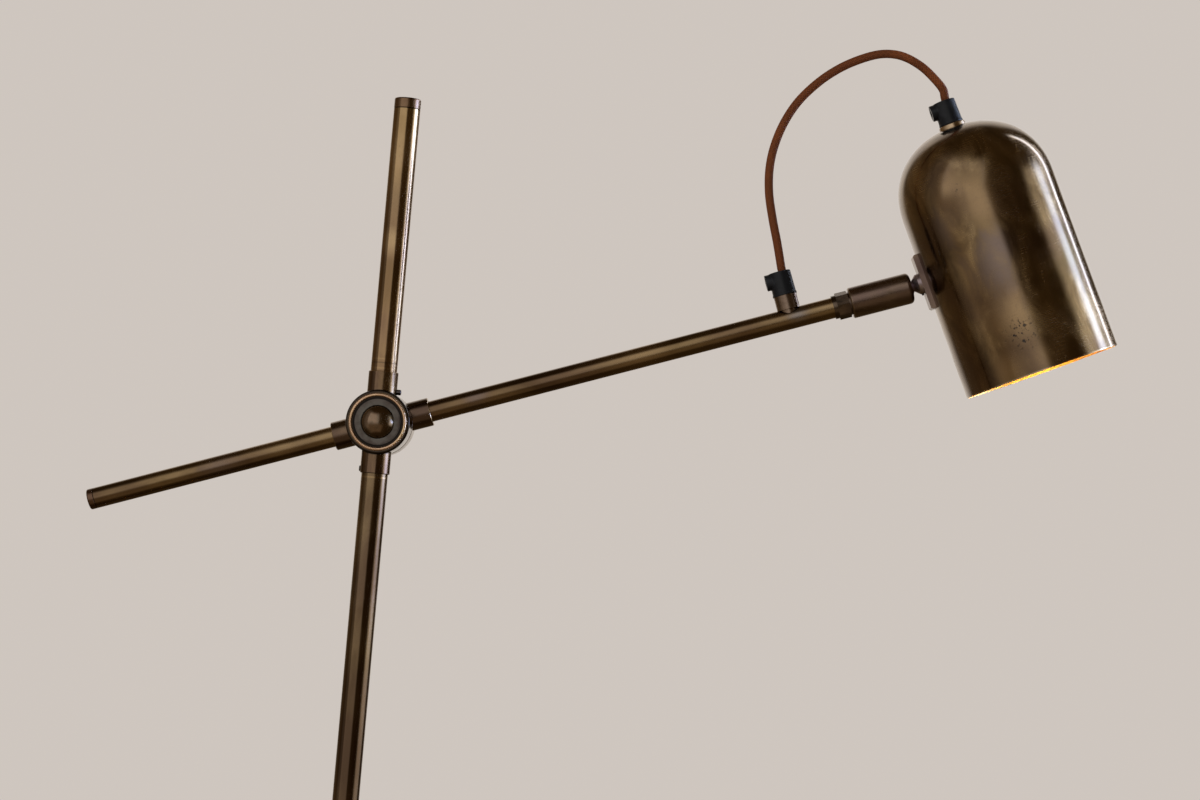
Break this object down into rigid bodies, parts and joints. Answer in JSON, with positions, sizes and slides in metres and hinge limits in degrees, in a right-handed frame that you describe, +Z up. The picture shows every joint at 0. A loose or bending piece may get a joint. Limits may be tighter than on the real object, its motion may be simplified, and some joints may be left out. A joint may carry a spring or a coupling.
{
  "type": "bridge floor lamp",
  "caption": "Floor lamp with a weighted round base, slim post, tilting boom on a friction swivel and a bullet shade on a ball knuckle.",
  "frame": {"origin": "centre of the base's underside, on the post's axis, at the floor", "axes": "+Z up along the post, +X towards the shade, +Y from the post's drum to the boom's drum (the back of the lamp)"},
  "size_m": [0.7287, 0.282, 1.4999],
  "materials": {
    "aged_brass": "aged, satin with a mottled patina",
    "dark_brass": "dark bronze patina, satin",
    "bright_brass": "worn bright brass",
    "grey_plate": "grey satin",
    "steel": "plain zinc-plated",
    "cast_iron": "as cast",
    "friction_fibre": "matt fibre",
    "felt": "black felt",
    "black_plastic": "satin black",
    "porcelain": "glazed white",
    "lamp_glass": "frosted, lit",
    "braided_cord": "rust-brown braid"
  },
  "bodies": {
    "post": {"base_pad": "felt", "base_weight": "cast_iron", "base_cover": "aged_brass", "lead_inlet": "black_plastic", "base_nut": "steel", "base_washer": "steel", "threaded_rod": "steel", "post_foot": "aged_brass", "post_bush": "steel", "lower_tube": "aged_brass", "tube_coupler": "aged_brass", "middle_tube": "aged_brass", "upper_tube": "aged_brass", "post_cap": "aged_brass", "post_drum": "dark_brass", "post_set_screws": "dark_brass", "clutch_bolt": "steel", "clutch_spring": "steel", "clutch_nut": "steel", "bead_ring": "bright_brass", "face_plate": "grey_plate", "dome_button": "aged_brass", "friction_washer": "friction_fibre"},
    "boom": {"boom_drum": "dark_brass", "boom_set_screws": "dark_brass", "drum_back_cap": "dark_brass", "rear_tube": "aged_brass", "boom_cap": "aged_brass", "front_tube": "aged_brass", "cord_outlet": "aged_brass", "lower_grip": "black_plastic", "lower_grip_screw": "steel", "friction_nut": "dark_brass", "knuckle_barrel": "dark_brass", "seat_spring": "steel", "cord_loop": "braided_cord"},
    "knuckle": {"ball_seat": "bright_brass"},
    "shade": {"ball_stud": "steel", "stud_lock_screw": "dark_brass", "pivot_plate": "dark_brass", "stud_nut": "steel", "shade": "aged_brass", "crown_ring": "bright_brass", "upper_grip": "black_plastic", "upper_grip_screw": "steel", "crown_nipple": "steel", "lock_washer": "steel", "lock_nut": "steel", "holder_cap": "dark_brass", "holder_body": "porcelain", "holder_core": "porcelain", "lamp_cap": "steel", "lamp_glass_bulb": "lamp_glass"}
  },
  "joints": [
    {"name": "boom_tilt", "type": "hinge", "parent": "post", "child": "boom", "pos_m": [0, 0.02175, 1.2], "axis": [0, 1, 0], "range_deg": [-45, 60]},
    {"name": "shade_swivel", "type": "hinge", "parent": "boom", "child": "knuckle", "pos_m": [0.36536, 0.02175, 1.32759], "axis": [0.9441, 0, 0.3297], "range_deg": [-60, 60], "deforming": ["cord_loop"]},
    {"name": "shade_tilt", "type": "hinge", "parent": "knuckle", "child": "shade", "pos_m": [0.36536, 0.02175, 1.32759], "axis": [0, 1, 0], "range_deg": [-19, 29], "deforming": ["cord_loop"]}
  ]
}
